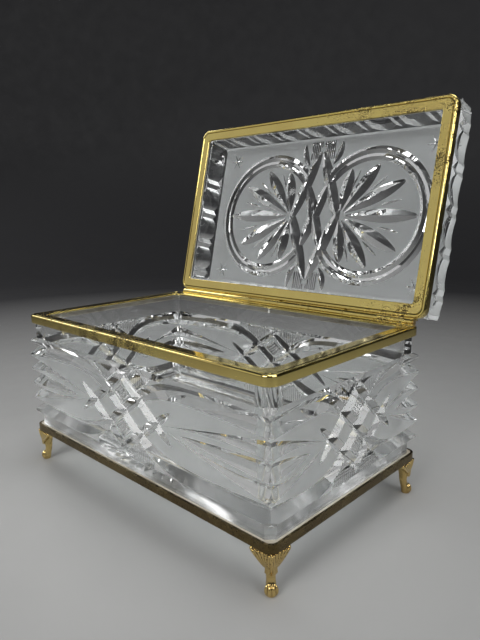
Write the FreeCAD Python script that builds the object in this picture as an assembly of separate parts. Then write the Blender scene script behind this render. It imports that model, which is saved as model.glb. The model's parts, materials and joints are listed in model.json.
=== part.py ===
import FreeCAD, Part
import math
import os

os.makedirs("parts", exist_ok=True)

# A cut-glass jewelry box with gilt brass mounts, standing on four cast feet, lid open against its stop.
# The origin is on the table under the middle of the box. +X runs along the box, -Y is the front, +Z is up.
# All sizes are in millimetres.

# Glass box, measured over the ridge tips
box_length = 200.0
box_depth = 122.0
body_glass_height = 71.5
glass_wall = 8.0
glass_floor = 8.0
corner_chamfer = 1.5
cavity_corner_radius = 5.0

# Horizontal ridges at the box's corners, and the grooves between them
ridge_count = 6
first_ridge_height = 11.0
collar_height = 14.8
ridge_land = 0.35
groove_depth = 3.4

# Crossed cuts in the middle of each side, three each way, into which the corner grooves sweep
long_cell_half_width = 13.4
short_cell_half_width = 10.2
lattice_margin = 4.0
lattice_rise = 1.2
lattice_cut_depth = 1.8
lattice_overrun = 0.5
sweep_crest_rise = 2.5
sweep_pull = 1.35
inner_groove_gap = 1.5
middle_groove_gap = 14.0
sweep_steps = 6

# Glass lid, measured from the plane where lid and box part
lid_height = 25.0
lid_panel_thickness = 6.0
lid_collar_show = 1.4
lid_bevel_height = 6.0
lid_bevel_run = 4.0
lid_wall_draft = 1.5
lid_corner_cut = 1.5

# Scalloped sides of the lid: wide hollows with a pair of ridges between them
scallop_pitch = 23.0
ridge_pair_width = 6.3
scallop_depth = 2.5
pair_notch_depth = 1.5
scallop_foot_height = 6.5

# Cuts in the lid's top
ring_offset = 41.0
ring_groove_radius = 41.2
ring_groove_half_width = 2.2
ring_groove_depth = 1.5
fan_offset = 24.5
fan_root_radius = 4.0
fan_angles = (0.0, 27.0, 51.0, 80.0)
fan_lengths = (54.0, 47.0, 40.5, 31.0)
fan_cut_half_width = 3.1
fan_cut_depth = 1.7
top_lattice_half_width = 18.4
top_lattice_half_height = 46.0
top_lattice_cut_half_width = 3.3
top_lattice_cut_depth = 2.2

# Brass rims of box and lid
rim_height = 5.0
rim_sheet = 1.2
rim_flange_width = 7.75
rim_set_in = 0.5
rim_corner_radius = 6.0
rim_edge_radius = 0.9
rim_line_from_edge = 1.8
rim_line_width = 0.7
rim_line_depth = 0.4
cement_thickness = 0.4
parting_gap = 0.5

# Brass base frame
base_band_height = 4.0
base_band_thickness = 1.4
base_ledge_thickness = 1.5
base_ledge_width = 9.0
base_corner_radius = 5.0
glass_foot_set_in = 2.5

# Cast feet and their screws
foot_height = 20.5
foot_set_in = 0.4
ear_length = 11.5
ear_thickness = 3.2
ear_tip_drop = 1.6
ear_waist_run = 7.1
ear_waist_drop = 4.2
ear_root_drop = 8.5
foot_plate_size = 9.0
foot_plate_thickness = 3.0
knee_radius = 4.4
calf_radius = 3.2
calf_drop = 7.5
ankle_radius = 1.9
ankle_height = 7.9
instep_radius = 2.35
instep_height = 4.4
paw_radius = 2.8
paw_height = 1.8
toe_pad_radius = 2.4
leg_set_in = 4.6
toe_set_in = 3.4
leg_side_count = 12
screw_radius = 1.2
screw_length = 8.0
screw_head_radius = 2.3
screw_head_height = 1.1
screw_clearance = 0.05

# Hinge along the back
hinge_end_set_in = 6.0
knuckle_pitch = 25.0
knuckle_radius = 2.0
knuckle_end_gap = 0.3
hinge_running_gap = 0.3
pin_radius = 0.9
pin_clearance = 0.05
pin_head_radius = 1.5
pin_head_length = 0.7
leaf_thickness = 1.1
leaf_foot_gap = 0.2
stop_heel_reach = 5.6
stop_heel_gap = 0.15
lid_open_angle = 103.6

# Cutters stand this far out of the surface that they cut, and edges this near to level count as level
cutter_overrun = 1.0
level_tolerance = 1e-6

# Heights and half sizes that follow from the sizes above
half_length = box_length / 2
half_depth = box_depth / 2
glass_bottom = foot_height + base_ledge_thickness + cement_thickness
glass_top = glass_bottom + body_glass_height
rim_top = glass_top + cement_thickness + rim_sheet
parting_height = rim_top + parting_gap
body_rim_edge = rim_top - rim_height
lid_rim_edge = parting_height + rim_height
lid_top = parting_height + lid_height
lid_ceiling = lid_top - lid_panel_thickness
collar_set_in = rim_set_in + rim_sheet + cement_thickness
collar_chamfer = rim_corner_radius - rim_sheet
foot_ring_chamfer = base_corner_radius - base_band_thickness
first_ridge = glass_bottom + first_ridge_height
last_ridge = glass_top - collar_height
ridge_pitch = (last_ridge - first_ridge) / (ridge_count - 1)
field_middle = (first_ridge + last_ridge) / 2
cell_half_height = (last_ridge - field_middle - lattice_margin) / 2
lattice_middle = field_middle + lattice_rise
groove_half_width = (ridge_pitch - ridge_land) / 2
groove_slope = groove_half_width / groove_depth
rim_half_length = half_length - rim_set_in
rim_half_depth = half_depth - rim_set_in
hinge_half_length = half_length - hinge_end_set_in
hinge_y = rim_half_depth + hinge_running_gap + knuckle_radius
hinge_z = rim_top + parting_gap / 2
up = FreeCAD.Vector(0, 0, 1)


def vec(x, y, z):
    return FreeCAD.Vector(x, y, z)


def polyhedron(faces):
    shell = Part.makeShell([Part.Face(Part.makePolygon(list(face) + [face[0]])) for face in faces])
    solid = Part.makeSolid(shell)
    if solid.Volume < 0:
        solid.reverse()
    return solid


def rounded_slab(half_x, half_y, radius, low, high):
    slab = Part.makeBox(2 * half_x, 2 * half_y, high - low, vec(-half_x, -half_y, low))
    uprights = [edge for edge in slab.Edges if edge.BoundBox.ZLength > level_tolerance]
    return slab.makeFillet(radius, uprights)


def chamfered_ring(height, set_in, chamfer):
    x = half_length - set_in
    y = half_depth - set_in
    plan = []
    for side_x, side_y in ((1, 1), (-1, 1), (-1, -1), (1, -1)):
        on_long_side = vec(side_x * (x - chamfer), side_y * y, height)
        on_short_side = vec(side_x * x, side_y * (y - chamfer), height)
        plan += [on_short_side, on_long_side] if side_x * side_y > 0 else [on_long_side, on_short_side]
    return plan


def stacked_plans(plans):
    faces = [plans[0], plans[-1]]
    for lower, upper in zip(plans, plans[1:]):
        for i in range(len(lower)):
            j = (i + 1) % len(lower)
            faces.append([lower[i], lower[j], upper[j], upper[i]])
    return polyhedron(faces)


def stacked_rings(rings):
    return stacked_plans([chamfered_ring(*ring) for ring in rings])


# Each side of the box turns along, out and height into a point, and the lid's top along, out and across
def front_side(along, out, height):
    return vec(along, -half_depth - out, height)


def back_side(along, out, height):
    return vec(-along, half_depth + out, height)


def right_side(along, out, height):
    return vec(half_length + out, along, height)


def left_side(along, out, height):
    return vec(-half_length - out, -along, height)


def top_side(along, out, across):
    return vec(along, across, lid_top + out)


box_sides = (
    (half_length, long_cell_half_width, front_side),
    (half_length, long_cell_half_width, back_side),
    (half_depth, short_cell_half_width, right_side),
    (half_depth, short_cell_half_width, left_side),
)


def leaf_cutter(side, start, end, half_width, depth):
    run = end[0] - start[0]
    rise = end[1] - start[1]
    reach = math.hypot(run, rise)
    middle = ((start[0] + end[0]) / 2, (start[1] + end[1]) / 2)
    step = (-rise / reach * half_width, run / reach * half_width)
    tips = (side(start[0], 0, start[1]), side(end[0], 0, end[1]))
    edges = (
        side(middle[0] + step[0], 0, middle[1] + step[1]),
        side(middle[0] - step[0], 0, middle[1] - step[1]),
    )
    crests = (side(middle[0], -depth, middle[1]), side(middle[0], cutter_overrun, middle[1]))
    return polyhedron([[tip, edge, crest] for tip in tips for edge in edges for crest in crests])


# A V cut along a line of points, each with its depth, that comes to a tip where it leaves the surface
def sweep_cutter(side, points):
    sections = []
    for i, (along, height, depth) in enumerate(points):
        before = points[max(i - 1, 0)]
        after = points[min(i + 1, len(points) - 1)]
        reach = math.hypot(after[0] - before[0], after[1] - before[1])
        half_width = (depth + cutter_overrun) * groove_slope
        step_along = -(after[1] - before[1]) / reach * half_width
        step_height = (after[0] - before[0]) / reach * half_width
        section = [side(along, -depth, height)]
        if half_width > 0:
            section.append(side(along + step_along, cutter_overrun, height + step_height))
            section.append(side(along - step_along, cutter_overrun, height - step_height))
        sections.append(section)
    faces = [end for end in (sections[0], sections[-1]) if len(end) == 3]
    for here, there in zip(sections, sections[1:]):
        for i in range(3):
            j = (i + 1) % 3
            if len(here) == 3:
                faces.append([here[i], here[j], there[i % len(there)]])
            if len(there) == 3:
                faces.append([there[i], there[j], here[j % len(here)]])
    return polyhedron(faces)


def curve_points(start, start_pull, end_pull, end, depth_at):
    points = []
    for i in range(sweep_steps + 1):
        t = i / sweep_steps
        weights = ((1 - t) ** 3, 3 * t * (1 - t) ** 2, 3 * t ** 2 * (1 - t), t ** 3)
        ends = (start, start_pull, end_pull, end)
        along = sum(weight * point[0] for weight, point in zip(weights, ends))
        height = sum(weight * point[1] for weight, point in zip(weights, ends))
        points.append((along, height, depth_at(t)))
    return points


def groove_height(number):
    return last_ridge - (number - 0.5) * ridge_pitch


# From a corner's outermost groove, over a low crest, into the lattice
def outer_sweep(half_run, cell, above):
    height = groove_height(1 if above > 0 else ridge_count - 1)
    crossing = (cell, lattice_middle + above * cell_half_height)
    crest = ((half_run + cell) / 2, height + above * sweep_crest_rise)
    pull = (cell * (1 + sweep_pull), crossing[1] + above * cell_half_height * sweep_pull)
    fall = groove_depth - lattice_cut_depth
    return curve_points((half_run, height), crest, pull, crossing, lambda t: groove_depth - fall * t ** 3)


def inner_sweep(half_run, cell, number):
    height = groove_height(number)
    end = 2 * cell + inner_groove_gap
    third = (half_run - end) / 3
    pull = (end + third, (height + lattice_middle) / 2)
    start_pull = (half_run - third, height)
    tip = (end, lattice_middle)
    return curve_points((half_run, height), start_pull, pull, tip, lambda t: groove_depth * (1 - t) ** 2)


def middle_sweep(half_run, cell, number):
    height = groove_height(number)
    return [(half_run, height, groove_depth), (2 * cell + middle_groove_gap, height, 0)]


def to_corner(points):
    along, height, depth = points[0]
    return [(along + cutter_overrun, height, depth)] + points


def to_tip(points):
    along, height, depth = points[-1]
    last_along, last_height, last_depth = points[-2]
    share = (depth + cutter_overrun) / max(last_depth - depth, cutter_overrun)
    tip = (along + (along - last_along) * share, height + (height - last_height) * share, -cutter_overrun)
    return points[:-1] + [tip]


def mirrored(points, hand):
    return [(hand * along, height, depth) for along, height, depth in points]


def corner_sweep_cutters(side, half_run, cell):
    cutters = []
    for hand in (1, -1):
        entering = mirrored(to_corner(outer_sweep(half_run, cell, 1)), hand)
        leaving = mirrored(to_corner(outer_sweep(half_run, cell, -1)), -hand)
        cutters.append(sweep_cutter(side, entering + leaving[::-1]))
        for number in range(2, ridge_count - 1):
            in_middle = 2 * number == ridge_count
            make_points = middle_sweep if in_middle else inner_sweep
            points = to_tip(to_corner(make_points(half_run, cell, number)))
            cutters.append(sweep_cutter(side, mirrored(points, hand)))
    return cutters


def lattice_cutters(side, cell):
    cutters = []
    beyond = 2 + lattice_overrun
    half_width = lattice_cut_depth * groove_slope
    for hand in (1, -1):
        for above in (1, -1):
            run = hand * cell
            rise = above * cell_half_height
            start = (run * 3, lattice_middle - rise)
            end = (-run * lattice_overrun, lattice_middle + rise * beyond)
            cutters.append(leaf_cutter(side, start, end, half_width, lattice_cut_depth))
    return cutters


def body_envelope():
    lower_bevel = first_ridge - glass_foot_set_in * groove_slope
    upper_bevel = last_ridge + collar_set_in * groove_slope
    return stacked_rings([
        (glass_bottom, glass_foot_set_in, foot_ring_chamfer),
        (lower_bevel, glass_foot_set_in, foot_ring_chamfer),
        (first_ridge, 0, corner_chamfer),
        (last_ridge, 0, corner_chamfer),
        (upper_bevel, collar_set_in, collar_chamfer),
        (glass_top, collar_set_in, collar_chamfer),
    ])


def body_cavity(high):
    return rounded_slab(
        half_length - glass_wall,
        half_depth - glass_wall,
        cavity_corner_radius,
        glass_bottom + glass_floor,
        high,
    )


def make_glass_body():
    cutters = []
    for half_run, cell, side in box_sides:
        cutters += corner_sweep_cutters(side, half_run, cell)
        cutters += lattice_cutters(side, cell)
    return body_envelope().cut(body_cavity(glass_top + cutter_overrun)).cut(cutters)


def lid_envelope():
    collar_start = parting_height + rim_sheet + cement_thickness
    collar_end = lid_rim_edge + lid_collar_show
    return stacked_rings([
        (collar_start, collar_set_in, collar_chamfer),
        (collar_end, collar_set_in, collar_chamfer),
        (collar_end + collar_set_in, 0, corner_chamfer),
        (lid_top - lid_bevel_height, 0, corner_chamfer),
        (lid_top, lid_bevel_run, corner_chamfer),
    ])


def lid_cavity():
    return stacked_rings([
        (parting_height - cutter_overrun, glass_wall, lid_corner_cut),
        (lid_ceiling, glass_wall + lid_wall_draft, lid_corner_cut),
    ])


def scallop_cutters(side, half_run):
    low = parting_height + scallop_foot_height
    height = lid_top + cutter_overrun - low
    half_chord = (scallop_pitch - ridge_pair_width) / 2
    radius = (half_chord ** 2 + scallop_depth ** 2) / (2 * scallop_depth)
    pair_count = int(2 * half_run // scallop_pitch)
    cutters = []
    for i in range(pair_count + 1):
        along = (i - pair_count / 2) * scallop_pitch
        cutters.append(Part.makeCylinder(radius, height, side(along, radius - scallop_depth, low), up))
    for i in range(pair_count):
        along = (i - (pair_count - 1) / 2) * scallop_pitch
        half_notch = ridge_pair_width / 2 * (pair_notch_depth + cutter_overrun) / pair_notch_depth
        notch = [
            side(along - half_notch, cutter_overrun, low),
            side(along + half_notch, cutter_overrun, low),
            side(along, -pair_notch_depth, low),
        ]
        cutters.append(Part.Face(Part.makePolygon(notch + notch[:1])).extrude(vec(0, 0, height)))
    return cutters


def ring_cutter(hand):
    crossing_run = ring_offset - top_lattice_half_width / 2
    ring_end = math.degrees(math.atan2(top_lattice_half_height / 2, crossing_run))
    spread = ring_groove_half_width * (ring_groove_depth + cutter_overrun) / ring_groove_depth
    section = [
        vec(ring_groove_radius - spread, 0, lid_top + cutter_overrun),
        vec(ring_groove_radius + spread, 0, lid_top + cutter_overrun),
        vec(ring_groove_radius, 0, lid_top - ring_groove_depth),
    ]
    face = Part.Face(Part.makePolygon(section + section[:1]))
    face.rotate(vec(0, 0, 0), up, ring_end)
    ring = face.revolve(vec(0, 0, 0), up, 360 - 2 * ring_end)
    if hand > 0:
        ring.rotate(vec(0, 0, 0), up, 180)
    ring.translate(vec(hand * ring_offset, 0, 0))
    return ring


def fan_cutters(hand):
    cutters = []
    for angle, reach in zip(fan_angles, fan_lengths):
        for turn in (1, -1) if angle else (1,):
            run = hand * math.cos(math.radians(angle))
            rise = turn * math.sin(math.radians(angle))
            start = (hand * fan_offset + fan_root_radius * run, fan_root_radius * rise)
            end = (hand * fan_offset + reach * run, reach * rise)
            cutters.append(leaf_cutter(top_side, start, end, fan_cut_half_width, fan_cut_depth))
    return cutters


def top_lattice_cutters():
    cutters = []
    for hand in (1, -1):
        for shift in (-1, 0, 1):
            near = (1 + shift) / 2
            far = (1 - shift) / 2
            start = (-hand * top_lattice_half_width * near, -top_lattice_half_height * far)
            end = (hand * top_lattice_half_width * far, top_lattice_half_height * near)
            half_width = top_lattice_cut_half_width
            cutters.append(leaf_cutter(top_side, start, end, half_width, top_lattice_cut_depth))
    return cutters


def make_glass_lid():
    cutters = []
    for half_run, cell, side in box_sides:
        cutters += scallop_cutters(side, half_run)
    for hand in (1, -1):
        cutters.append(ring_cutter(hand))
        cutters += fan_cutters(hand)
    cutters += top_lattice_cutters()
    return lid_envelope().cut(lid_cavity()).cut(cutters)


def level_edges(shape, height):
    boxes = [(edge, edge.BoundBox) for edge in shape.Edges]
    level = [(edge, box.ZMin) for edge, box in boxes if box.ZLength < level_tolerance]
    return [edge for edge, low in level if abs(low - height) < level_tolerance]


def make_rim(outer_face, inner_face, mouth_radius):
    facing = 1 if outer_face > inner_face else -1
    low, high = sorted((outer_face, inner_face))
    rim = rounded_slab(rim_half_length, rim_half_depth, rim_corner_radius, low, high)
    rim = rim.makeFillet(rim_edge_radius, level_edges(rim, outer_face))
    rim = rim.cut(rim_inside(outer_face - facing * rim_sheet, inner_face - facing * cutter_overrun))
    rim = rim.cut(rim_mouth(low - cutter_overrun, high + cutter_overrun, mouth_radius))
    line_floor = outer_face - facing * rim_line_depth
    line_top = outer_face + facing * cutter_overrun
    line = set_in_slab(rim_line_from_edge, line_floor, line_top)
    return rim.cut(line.cut(set_in_slab(rim_line_from_edge + rim_line_width, line_floor, line_top)))


def set_in_slab(set_in, first_height, second_height):
    low, high = sorted((first_height, second_height))
    radius = rim_corner_radius - set_in
    return rounded_slab(rim_half_length - set_in, rim_half_depth - set_in, radius, low, high)


def rim_inside(first_height, second_height):
    return set_in_slab(rim_sheet, first_height, second_height)


def rim_mouth(low, high, radius):
    mouth_length = rim_half_length - rim_flange_width
    mouth_depth = rim_half_depth - rim_flange_width
    return rounded_slab(mouth_length, mouth_depth, radius, low, high)


def make_rim_cement(flange_face, open_face, glass, cavity):
    return rim_inside(flange_face, open_face).cut(glass).cut(cavity)


def base_slab(set_in, low, high):
    radius = base_corner_radius - min(set_in, base_band_thickness)
    return rounded_slab(half_length - set_in, half_depth - set_in, radius, low, high)


def screw_place(side_x, side_y):
    return vec(side_x * (half_length - leg_set_in), side_y * (half_depth - leg_set_in), 0)


def make_screw(clearance):
    head_top = foot_height + base_ledge_thickness
    neck = screw_radius + clearance
    head_rim = screw_head_radius + clearance
    shank = Part.makeCylinder(neck, screw_length, vec(0, 0, head_top - screw_length))
    head = Part.makeCone(neck, head_rim, screw_head_height, vec(0, 0, head_top - screw_head_height))
    return shank.fuse(head).removeSplitter()


def make_base_frame():
    ledge_top = foot_height + base_ledge_thickness
    band_top = foot_height + base_band_height
    frame = base_slab(0, foot_height, band_top)
    frame = frame.cut(base_slab(base_band_thickness, ledge_top, band_top + cutter_overrun))
    frame = frame.cut(base_slab(base_ledge_width, foot_height - cutter_overrun, band_top))
    for side_x in (1, -1):
        for side_y in (1, -1):
            hole = make_screw(screw_clearance)
            hole.translate(screw_place(side_x, side_y))
            frame = frame.cut(hole)
    return frame


def make_base_cement(glass):
    ledge_top = foot_height + base_ledge_thickness
    band_top = foot_height + base_band_height
    bed = base_slab(base_band_thickness, ledge_top, band_top)
    return bed.cut(glass).cut(base_slab(base_ledge_width, ledge_top - cutter_overrun, band_top))


def foot_ear(along_x):
    outline = [
        (foot_set_in, foot_height),
        (ear_length, foot_height),
        (ear_length, foot_height - ear_tip_drop),
        (ear_waist_run, foot_height - ear_waist_drop),
        (leg_set_in, foot_height - ear_root_drop),
        (foot_set_in, foot_height - ear_root_drop),
    ]
    if along_x:
        points = [vec(-run, -foot_set_in, height) for run, height in outline]
        inward = vec(0, -ear_thickness, 0)
    else:
        points = [vec(-foot_set_in, -run, height) for run, height in outline]
        inward = vec(-ear_thickness, 0, 0)
    return Part.Face(Part.makePolygon(points + points[:1])).extrude(inward)


def foot_leg():
    sections = (
        (foot_height - foot_plate_thickness / 2, knee_radius, leg_set_in),
        (foot_height - calf_drop, calf_radius, leg_set_in),
        (ankle_height, ankle_radius, leg_set_in),
        (instep_height, instep_radius, (leg_set_in + toe_set_in) / 2),
        (paw_height, paw_radius, toe_set_in),
        (0, toe_pad_radius, toe_set_in),
    )
    turns = [2 * math.pi * (i + 0.5) / leg_side_count for i in range(leg_side_count)]
    plans = []
    for height, radius, set_in in sections:
        centre = vec(-set_in, -set_in, height)
        plans.append([centre + vec(math.cos(turn), math.sin(turn), 0) * radius for turn in turns])
    return stacked_plans(plans)


def make_foot(side_x, side_y):
    plate_side = foot_plate_size - foot_set_in
    plate_corner = vec(-foot_plate_size, -foot_plate_size, foot_height - foot_plate_thickness)
    foot = Part.makeBox(plate_side, plate_side, foot_plate_thickness, plate_corner)
    foot = foot.fuse([foot_ear(True), foot_ear(False), foot_leg()]).removeSplitter()
    bore = make_screw(screw_clearance)
    bore.translate(vec(-leg_set_in, -leg_set_in, 0))
    foot = foot.cut(bore)
    quarter_turns = {(1, 1): 0, (-1, 1): 90, (-1, -1): 180, (1, -1): 270}
    foot.rotate(vec(0, 0, 0), up, quarter_turns[(side_x, side_y)])
    foot.translate(vec(side_x * half_length, side_y * half_depth, 0))
    return foot


def knuckle_spans(on_lid):
    boundaries = [-hinge_half_length]
    inner_count = int((hinge_half_length - knuckle_pitch / 2) // knuckle_pitch)
    boundaries += [i * knuckle_pitch for i in range(-inner_count, inner_count + 1)]
    boundaries.append(hinge_half_length)
    spans = list(zip(boundaries, boundaries[1:]))
    return spans[1::2] if on_lid else spans[0::2]


def knuckle(span, leaf_side):
    start = span[0] + knuckle_end_gap / 2
    length = span[1] - span[0] - knuckle_end_gap
    barrel = Part.makeCylinder(knuckle_radius, length, vec(start, hinge_y, hinge_z), vec(1, 0, 0))
    notch_height = leaf_notch_height()
    low, high = sorted((hinge_z, hinge_z + leaf_side * notch_height))
    strap = Part.makeBox(length, leaf_thickness, high - low, vec(start, rim_half_depth, low))
    return barrel.fuse(strap)


def leaf_notch_height():
    leaf_back = rim_half_depth + leaf_thickness
    clear_radius = knuckle_radius + hinge_running_gap
    return math.sqrt(clear_radius ** 2 - (hinge_y - leaf_back) ** 2)


def make_hinge_leaf(on_lid):
    leaf_side = 1 if on_lid else -1
    near = hinge_z + leaf_side * leaf_notch_height()
    far = hinge_z + leaf_side * (parting_gap / 2 + rim_height - leaf_foot_gap)
    low, high = sorted((near, far))
    start = vec(-hinge_half_length, rim_half_depth, low)
    leaf = Part.makeBox(2 * hinge_half_length, leaf_thickness, high - low, start)
    leaf = leaf.fuse([knuckle(span, leaf_side) for span in knuckle_spans(on_lid)])
    return leaf.removeSplitter()


def pin_bore():
    radius = pin_radius + pin_clearance
    return Part.makeCylinder(radius, box_length, vec(-half_length, hinge_y, hinge_z), vec(1, 0, 0))


def make_stop_heels():
    heel_front = rim_half_depth + leaf_thickness + stop_heel_gap
    heels = []
    for span in knuckle_spans(True):
        start = span[0] + knuckle_end_gap / 2
        length = span[1] - span[0] - knuckle_end_gap
        corner = vec(start, heel_front, hinge_z - stop_heel_reach)
        heels.append(Part.makeBox(length, leaf_thickness, stop_heel_reach, corner))
    return heels


def open_lid(shape):
    turned = shape.copy()
    turned.rotate(vec(0, hinge_y, hinge_z), vec(1, 0, 0), -lid_open_angle)
    return turned


def make_lid_leaf():
    return open_lid(make_hinge_leaf(True)).fuse(make_stop_heels()).cut(pin_bore()).removeSplitter()


def make_body_leaf():
    return make_hinge_leaf(False).cut(pin_bore())


def make_hinge_pin():
    body_end = vec(-hinge_half_length + knuckle_end_gap / 2, hinge_y, hinge_z)
    lid_end = vec(hinge_half_length, hinge_y, hinge_z)
    pin = Part.makeCylinder(pin_radius, lid_end.x - body_end.x, body_end, vec(1, 0, 0))
    body_head = Part.makeCylinder(pin_head_radius, pin_head_length, body_end, vec(-1, 0, 0))
    lid_head = Part.makeCylinder(pin_head_radius, pin_head_length, lid_end, vec(1, 0, 0))
    return pin.fuse([body_head, lid_head]).removeSplitter()


def save(name, shape):
    solids = shape.Solids
    whole = solids[0] if len(solids) == 1 else Part.makeCompound(solids)
    whole.exportStep("parts/" + name + ".step")
    state = "valid" if whole.isValid() else "not valid"
    print(name, len(solids), "solid", round(whole.Volume / 1000, 2), "cm3", state)


body_shape = body_envelope()
save("glass_body", make_glass_body())
save("body_rim", make_rim(rim_top, body_rim_edge, cavity_corner_radius))
body_bed = make_rim_cement(rim_top - rim_sheet, body_rim_edge, body_shape, body_cavity(rim_top))
save("body_rim_cement", body_bed)
save("base_frame", make_base_frame())
save("base_cement", make_base_cement(body_shape))
screws = []
for side_x, side_word in ((1, "right"), (-1, "left")):
    for side_y, end_word in ((1, "back"), (-1, "front")):
        save("foot_" + end_word + "_" + side_word, make_foot(side_x, side_y))
        screw = make_screw(0)
        screw.translate(screw_place(side_x, side_y))
        screws.append(screw)
save("foot_screws", Part.makeCompound(screws))
save("body_hinge_leaf", make_body_leaf())
save("hinge_pin", make_hinge_pin())
save("lid_hinge_leaf", make_lid_leaf())
save("glass_lid", open_lid(make_glass_lid()))
save("lid_rim", open_lid(make_rim(parting_height, lid_rim_edge, lid_corner_cut)))
lid_bed = make_rim_cement(parting_height + rim_sheet, lid_rim_edge, lid_envelope(), lid_cavity())
save("lid_rim_cement", open_lid(lid_bed))
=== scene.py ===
import json
import math

import bmesh
import bpy
from mathutils import Matrix, Vector


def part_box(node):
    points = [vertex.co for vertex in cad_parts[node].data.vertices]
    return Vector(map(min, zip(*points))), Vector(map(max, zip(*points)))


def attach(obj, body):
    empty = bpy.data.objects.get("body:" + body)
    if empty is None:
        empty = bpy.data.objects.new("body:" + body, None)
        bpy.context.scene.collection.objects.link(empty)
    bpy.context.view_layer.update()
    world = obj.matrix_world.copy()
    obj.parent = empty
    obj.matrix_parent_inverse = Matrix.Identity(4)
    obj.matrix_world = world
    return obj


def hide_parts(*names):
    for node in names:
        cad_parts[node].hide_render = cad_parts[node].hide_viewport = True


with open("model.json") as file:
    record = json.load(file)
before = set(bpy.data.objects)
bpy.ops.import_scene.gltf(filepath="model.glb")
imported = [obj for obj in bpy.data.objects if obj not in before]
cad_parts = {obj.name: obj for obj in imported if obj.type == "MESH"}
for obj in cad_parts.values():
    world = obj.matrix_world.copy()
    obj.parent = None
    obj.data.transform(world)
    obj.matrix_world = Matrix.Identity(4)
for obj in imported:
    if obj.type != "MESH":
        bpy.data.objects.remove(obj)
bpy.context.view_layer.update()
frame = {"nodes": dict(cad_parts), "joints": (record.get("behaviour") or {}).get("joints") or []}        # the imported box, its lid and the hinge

scene = bpy.context.scene
scene.view_settings.view_transform = "Standard"
nodes = frame["nodes"]
mm = 0.001  # sizes below are in millimetres, meshes in metres
print("frame loaded,", len(nodes), "nodes")


# Places taken from the frame
def nodeBox(node):
    low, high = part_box(node)
    return low / mm, high / mm


glassLow, glassHigh = nodeBox("glass_body")
rimTop = nodeBox("body_rim")[1].z
footHeight = nodeBox("base_frame")[0].z
halfLength = glassHigh.x
halfDepth = glassHigh.y
hinge = frame["joints"][0]
hingeAt = Vector(hinge["pos_m"]) / mm
parting = 2 * hingeAt.z - rimTop  # the shut lid starts here
openTurn = Matrix.Rotation(-math.radians(hinge["range_deg"][1]), 4, Vector(hinge["axis"]))
lidOpen = Matrix.Translation(hingeAt) @ openTurn @ Matrix.Translation(-hingeAt)
up = Vector((0, 0, 1))
overrun = 1.0  # how far a cutter stands out of the glass
fineGap = 0.02  # left between fine lines side by side
fineTip = 0.05  # fine lines end this far above the glass
faceWeight = 80  # how far large faces rule the shading


# Node trees
def addNode(tree, kind, inputs=None, **settings):
    node = tree.nodes.new(kind)
    for name, value in settings.items():
        setattr(node, name, value)
    for name, value in (inputs or {}).items():
        if isinstance(value, bpy.types.NodeSocket):
            tree.links.new(value, node.inputs[name])
        else:
            node.inputs[name].default_value = value
    return node


def newGroup(name, inputs, outputs):
    group = bpy.data.node_groups.new(name, "ShaderNodeTree")
    for label, kind, value in inputs:
        socket = group.interface.new_socket(label, in_out="INPUT", socket_type=kind)
        socket.default_value = value
    for label, kind in outputs:
        group.interface.new_socket(label, in_out="OUTPUT", socket_type=kind)
    return group, addNode(group, "NodeGroupInput"), addNode(group, "NodeGroupOutput")


def noise(tree, place, scale, detail=3.0, roughness=0.55):
    settings = {"Vector": place, "Scale": scale, "Detail": detail, "Roughness": roughness}
    return addNode(tree, "ShaderNodeTexNoise", settings).outputs["Fac"]


def spread(tree, value, low, high, toLow=0.0, toHigh=1.0):
    settings = {"Value": value, "From Min": low, "From Max": high, "To Min": toLow, "To Max": toHigh}
    return addNode(tree, "ShaderNodeMapRange", settings).outputs["Result"]


def maths(tree, operation, first, second):
    node = addNode(tree, "ShaderNodeMath", {0: first, 1: second}, operation=operation)
    return node.outputs["Value"]


def mixColour(tree, share, first, second):
    node = addNode(tree, "ShaderNodeMix", data_type="RGBA")
    for socket, value in ((node.inputs[0], share), (node.inputs[6], first), (node.inputs[7], second)):
        if isinstance(value, bpy.types.NodeSocket):
            tree.links.new(value, socket)
        else:
            socket.default_value = value
    return node.outputs[2]


def objectPlace(tree):
    return addNode(tree, "ShaderNodeTexCoord").outputs["Object"]


floatSocket = "NodeSocketFloat"
colourSocket = "NodeSocketColor"
vectorSocket = "NodeSocketVector"


# Roughness that wanders a little, as handling and wiping leave it
smearing = dict(detail=5.0, breakUp=0.65, span=(0.3, 0.72))


def makeHandling():
    group, given, out = newGroup(
        "handling",
        [("Vector", vectorSocket, (0, 0, 0)), ("Scale", floatSocket, 60.0),
         ("Smooth", floatSocket, 0.1), ("Rough", floatSocket, 0.3)],
        [("Roughness", floatSocket), ("Height", floatSocket)],
    )
    value = given.outputs
    smears = noise(group, value["Vector"], value["Scale"], smearing["detail"], smearing["breakUp"])
    share = spread(group, smears, *smearing["span"])
    span = maths(group, "SUBTRACT", value["Rough"], value["Smooth"])
    rise = maths(group, "MULTIPLY", span, share)
    group.links.new(maths(group, "ADD", value["Smooth"], rise), out.inputs["Roughness"])
    group.links.new(smears, out.inputs["Height"])
    return group


# Gilding with thin brown clouds and dark pits that gather in patches
gilding = dict(
    cloudScale=24.0, cloudDetail=4.0, cloudSpan=(0.42, 0.7),
    patchScale=90.0, patchDetail=2.0, patchSpan=(0.3, 0.6), speckDetail=2.0, speckBreakUp=0.6,
    pitLevel=0.3, pitGain=0.42, pitEdge=0.05, pitRough=0.35, recessSpan=(0.44, 0.51), spotCore=0.4,
)


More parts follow.
